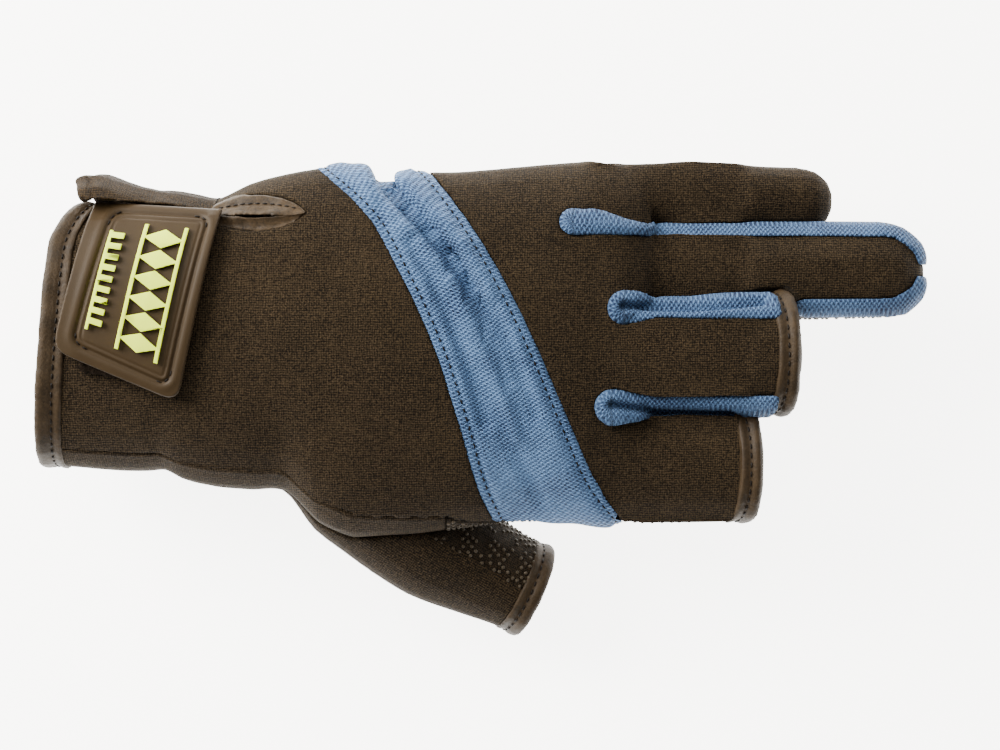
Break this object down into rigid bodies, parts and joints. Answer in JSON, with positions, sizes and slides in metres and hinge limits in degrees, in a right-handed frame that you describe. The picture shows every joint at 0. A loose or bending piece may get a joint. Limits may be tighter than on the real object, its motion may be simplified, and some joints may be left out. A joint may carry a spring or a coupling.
{
  "type": "fishing glove",
  "caption": "Stretch fishing glove for the left hand, with cut-open thumb, index and middle finger, a diagonal mesh band and a strap closure at the wrist",
  "frame": {"origin": "middle of the wrist opening, in the plane of its bound edge", "axes": "+X runs to the fingertips, +Y to the little-finger side, +Z out of the back of the hand"},
  "size_m": [0.2338, 0.1277, 0.0563],
  "materials": {
    "neoprene": "matte fine-knit face",
    "blue_mesh": "matte open knit mesh",
    "grip_fabric": "matte with small raised dots",
    "binding": "smooth satin folded tape",
    "patch_rubber": "satin moulded",
    "lime_rubber": "satin moulded",
    "loop_fabric": "fuzzy pile"
  },
  "bodies": {
    "root": {"wrist_back_panel": "neoprene", "finger_back_panel": "neoprene", "diagonal_band": "blue_mesh", "gusset_little_ring": "blue_mesh", "gusset_ring_middle": "blue_mesh", "gusset_middle_index": "blue_mesh", "palm_heel_panel": "neoprene", "palm_grip_panel": "grip_fabric", "thumb_panel": "neoprene", "thumb_grip_panel": "grip_fabric", "cuff_binding": "binding", "index_binding": "binding", "middle_binding": "binding", "thumb_binding": "binding", "vent_binding": "binding", "closure_strap": "neoprene", "closure_patch": "patch_rubber", "closure_pad": "loop_fabric", "patch_lozenges": "lime_rubber", "patch_blocks": "lime_rubber"}
  },
  "joints": []
}
